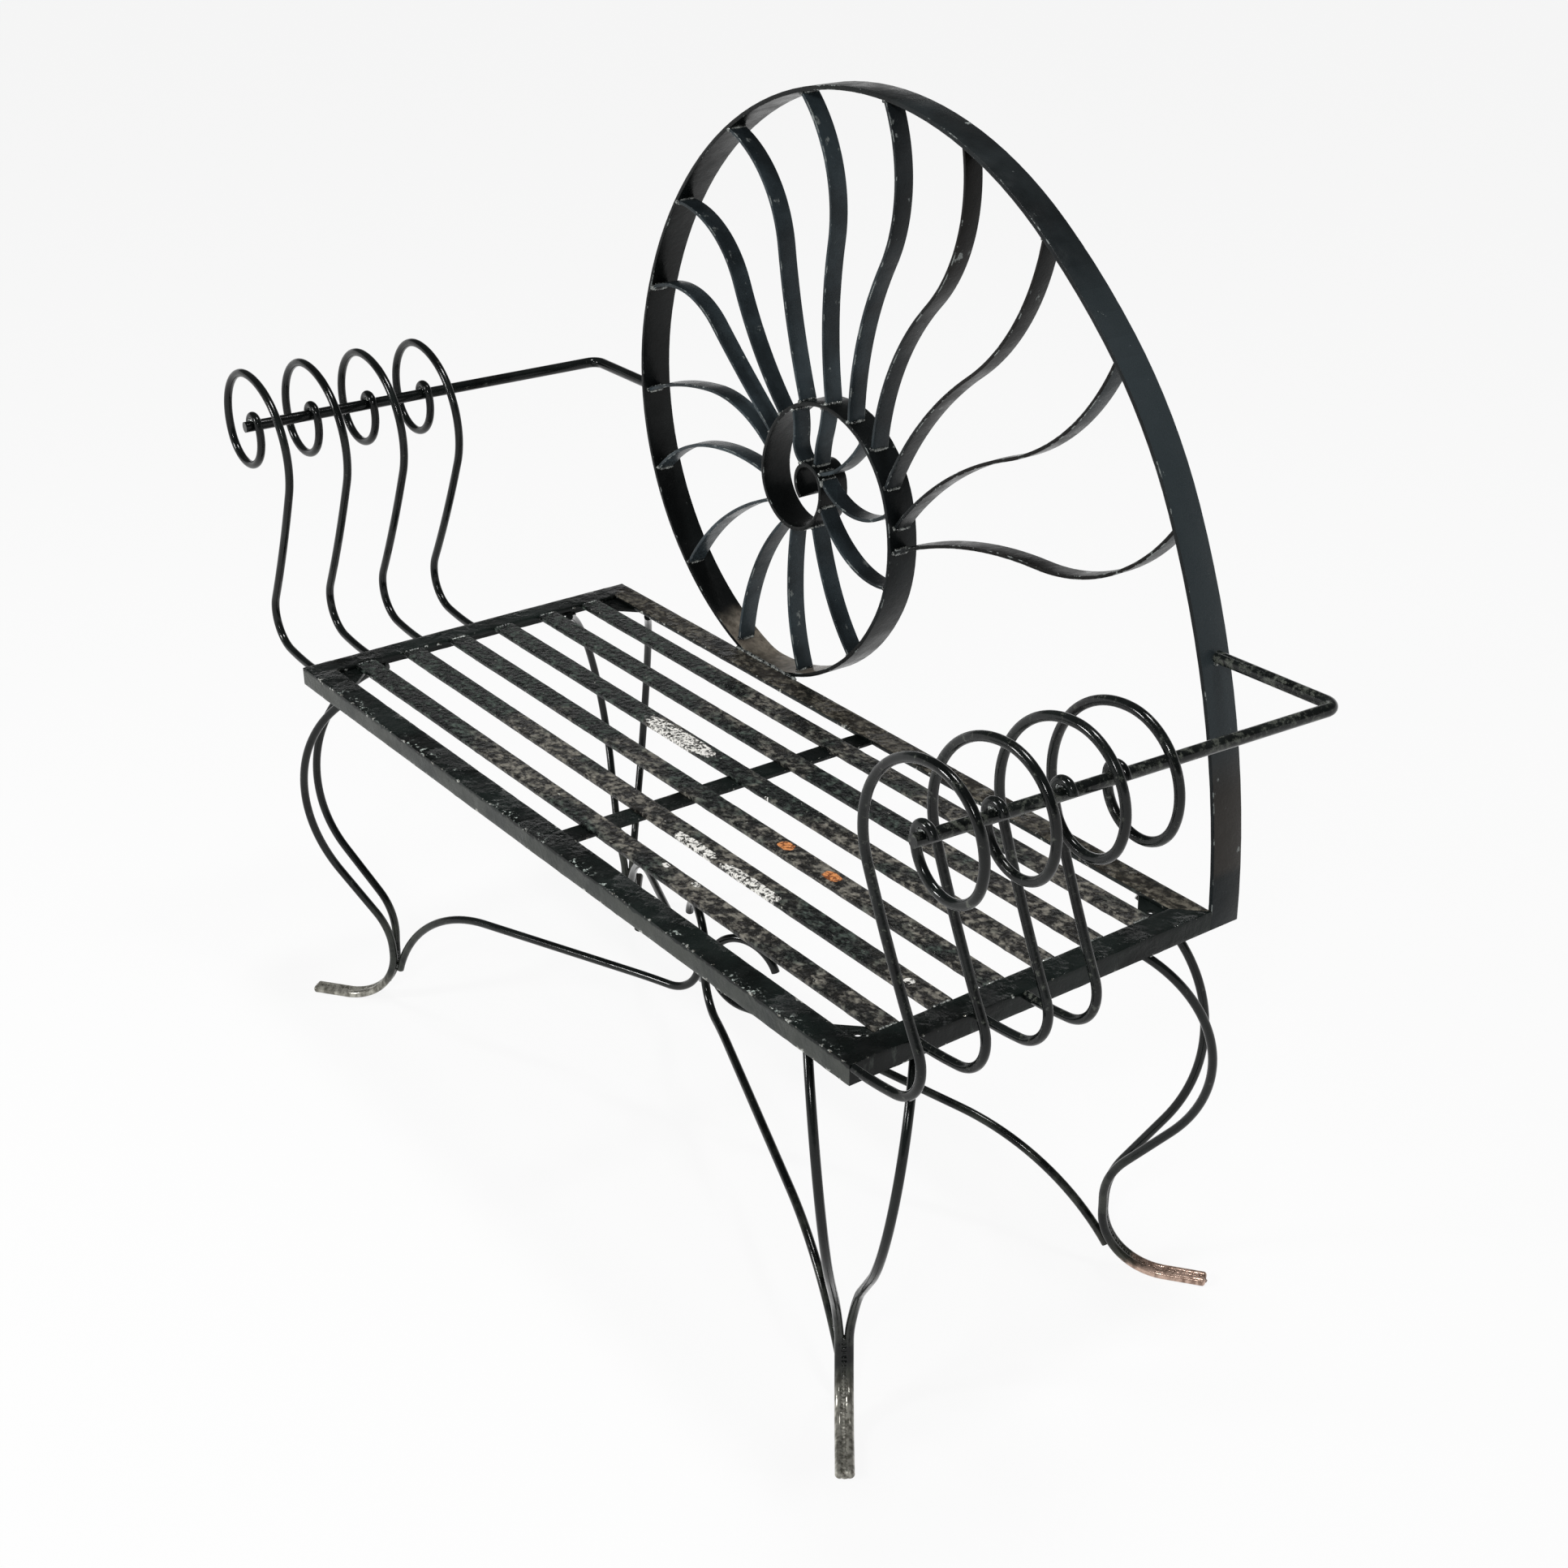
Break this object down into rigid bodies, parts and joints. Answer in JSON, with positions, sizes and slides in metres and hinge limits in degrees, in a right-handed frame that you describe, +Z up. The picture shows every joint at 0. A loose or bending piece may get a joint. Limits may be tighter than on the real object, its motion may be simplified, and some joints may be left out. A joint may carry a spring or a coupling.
{
  "type": "wrought iron loveseat",
  "caption": "Wrought iron garden loveseat with a slatted seat, a back made of a flat-bar spiral filled with curved ribs, scrolled arms and splayed rod legs.",
  "frame": {"origin": "centre of the seat frame in plan, on the floor under the feet", "axes": "+X along the seat, to the right as seen from the front; +Y from the front edge to the back; +Z up"},
  "size_m": [1.4154, 0.514, 1.1537],
  "materials": {
    "seat_frame_paint": "worn satin black paint",
    "slat_paint": "weathered, flaking dark paint",
    "back_paint": "satin black paint",
    "rod_paint": "satin black paint, worn at the feet"
  },
  "bodies": {
    "root": {"arm_rail_left": "rod_paint", "arm_rail_right": "rod_paint", "cross_bar": "seat_frame_paint", "gusset_front_left": "seat_frame_paint", "gusset_front_right": "seat_frame_paint", "gusset_rear_left": "seat_frame_paint", "gusset_rear_right": "seat_frame_paint", "leg_front_left_front_rod": "rod_paint", "leg_front_left_side_rod": "rod_paint", "leg_front_right_front_rod": "rod_paint", "leg_front_right_side_rod": "rod_paint", "leg_rear_left_front_rod": "rod_paint", "leg_rear_left_side_rod": "rod_paint", "leg_rear_right_front_rod": "rod_paint", "leg_rear_right_side_rod": "rod_paint", "rail_front": "seat_frame_paint", "rail_left": "seat_frame_paint", "rail_rear": "seat_frame_paint", "rail_right": "seat_frame_paint", "rib_1": "back_paint", "rib_10": "back_paint", "rib_11": "back_paint", "rib_12": "back_paint", "rib_13": "back_paint", "rib_14": "back_paint", "rib_15": "back_paint", "rib_16": "back_paint", "rib_2": "back_paint", "rib_3": "back_paint", "rib_4": "back_paint", "rib_5": "back_paint", "rib_6": "back_paint", "rib_7": "back_paint", "rib_8": "back_paint", "rib_9": "back_paint", "scroll_left_1": "rod_paint", "scroll_left_2": "rod_paint", "scroll_left_3": "rod_paint", "scroll_left_4": "rod_paint", "scroll_right_1": "rod_paint", "scroll_right_2": "rod_paint", "scroll_right_3": "rod_paint", "scroll_right_4": "rod_paint", "septum_1": "back_paint", "septum_2": "back_paint", "septum_3": "back_paint", "septum_4": "back_paint", "slat_1": "slat_paint", "slat_2": "slat_paint", "slat_3": "slat_paint", "slat_4": "slat_paint", "slat_5": "slat_paint", "slat_6": "slat_paint", "spiral_band": "back_paint", "stretcher_front_left": "rod_paint", "stretcher_front_right": "rod_paint", "stretcher_rear_left": "rod_paint", "stretcher_rear_right": "rod_paint"}
  },
  "joints": []
}
